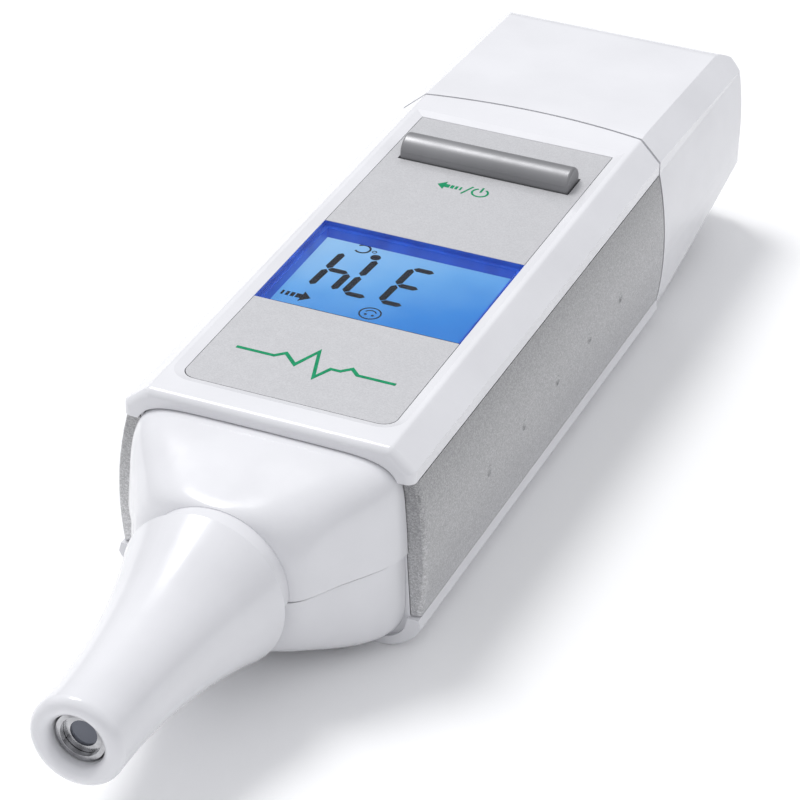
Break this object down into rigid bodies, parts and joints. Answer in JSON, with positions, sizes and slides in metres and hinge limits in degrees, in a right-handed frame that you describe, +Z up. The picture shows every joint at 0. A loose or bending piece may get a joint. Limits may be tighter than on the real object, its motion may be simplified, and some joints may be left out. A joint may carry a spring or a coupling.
{
  "type": "digital ear thermometer",
  "caption": "Slim hand-held infrared ear thermometer with a conical probe, blue backlit display, bar button and pull-off battery cap.",
  "frame": {"origin": "on the resting surface, under the middle of the overall length and width", "axes": "+Z up, out of the display; -Y towards the probe tip; +X to the right when the probe points at the viewer's left foot, seen from above with the probe near"},
  "size_m": [0.0326, 0.1375, 0.0242],
  "materials": {
    "casing_white": "glossy moulded white",
    "side_silver": "silver metallic lacquer, fine speckle",
    "panel_grey": "satin pale grey",
    "window_clear": "clear polished acrylic",
    "button_grey": "satin mid grey",
    "core_white": "moulded, unpolished",
    "sleeve_grey": "moulded, unpolished",
    "sensor_nickel": "nickel plated",
    "sensor_filter": "dark infrared filter",
    "silicon": "polished silicon",
    "seal_rubber": "smooth",
    "zebra_rubber": "striped conductive rubber",
    "display_glass": "backlit blue display",
    "guide_acrylic": "frosted acrylic",
    "led_white": "moulded package",
    "board_green": "solder mask",
    "chip_black": "moulded",
    "plunger_black": "moulded",
    "component_tan": "ceramic chip bodies",
    "crystal_steel": "drawn can",
    "wire_insulation": "extruded insulation",
    "contact_steel": "nickel plated spring steel",
    "screw_steel": "zinc plated",
    "cell_jacket": "printed metal jacket, plain colour"
  },
  "bodies": {
    "casing": {"top_cover": "casing_white", "bottom_cover": "casing_white", "nose_upper": "casing_white", "nose_lower": "casing_white", "probe_cone": "casing_white", "left_side_panel": "side_silver", "right_side_panel": "side_silver", "face_plate_front": "panel_grey", "face_plate_rear": "panel_grey", "display_window": "window_clear", "probe_core": "core_white", "lcd_frame": "core_white", "sensor_connector": "core_white", "battery_sleeve": "sleeve_grey", "sensor_barrel": "sensor_nickel", "sensor_can": "sensor_nickel", "sensor_header": "sensor_nickel", "sensor_window": "sensor_filter", "sensor_die": "silicon", "sensor_seal": "seal_rubber", "zebra_strip_front": "zebra_rubber", "zebra_strip_rear": "zebra_rubber", "lcd_glass": "display_glass", "light_guide": "guide_acrylic", "backlight_leds": "led_white", "main_board": "board_green", "controller_chip": "chip_black", "buzzer": "chip_black", "switch_body": "chip_black", "small_components": "component_tan", "crystal": "crystal_steel", "sensor_wires": "wire_insulation", "contact_positive": "contact_steel", "contact_negative": "contact_steel", "housing_screws": "screw_steel", "board_screws": "screw_steel", "sleeve_screws": "screw_steel", "battery_left": "cell_jacket", "battery_right": "cell_jacket"},
    "button": {"measure_button": "button_grey"},
    "plunger": {"switch_plunger": "plunger_black"},
    "cap": {"battery_cap": "casing_white", "cap_contact_bridge": "contact_steel", "cap_contact_spring": "contact_steel"}
  },
  "joints": [
    {"name": "button_press", "type": "slide", "parent": "casing", "child": "button", "axis": [0, 0, -1], "range_m": [0, 0.0006], "stiffness_N_per_m": 3000, "springref_m": -0.0002},
    {"name": "plunger_press", "type": "slide", "parent": "casing", "child": "plunger", "axis": [0, 0, -1], "range_m": [0, 0.0006]},
    {"name": "cap_pull", "type": "slide", "parent": "casing", "child": "cap", "axis": [0, 1, 0], "range_m": [0, 0.03]}
  ],
  "couplings": [
    {"joint": "plunger_press", "follows": "button_press", "ratio": 1}
  ]
}
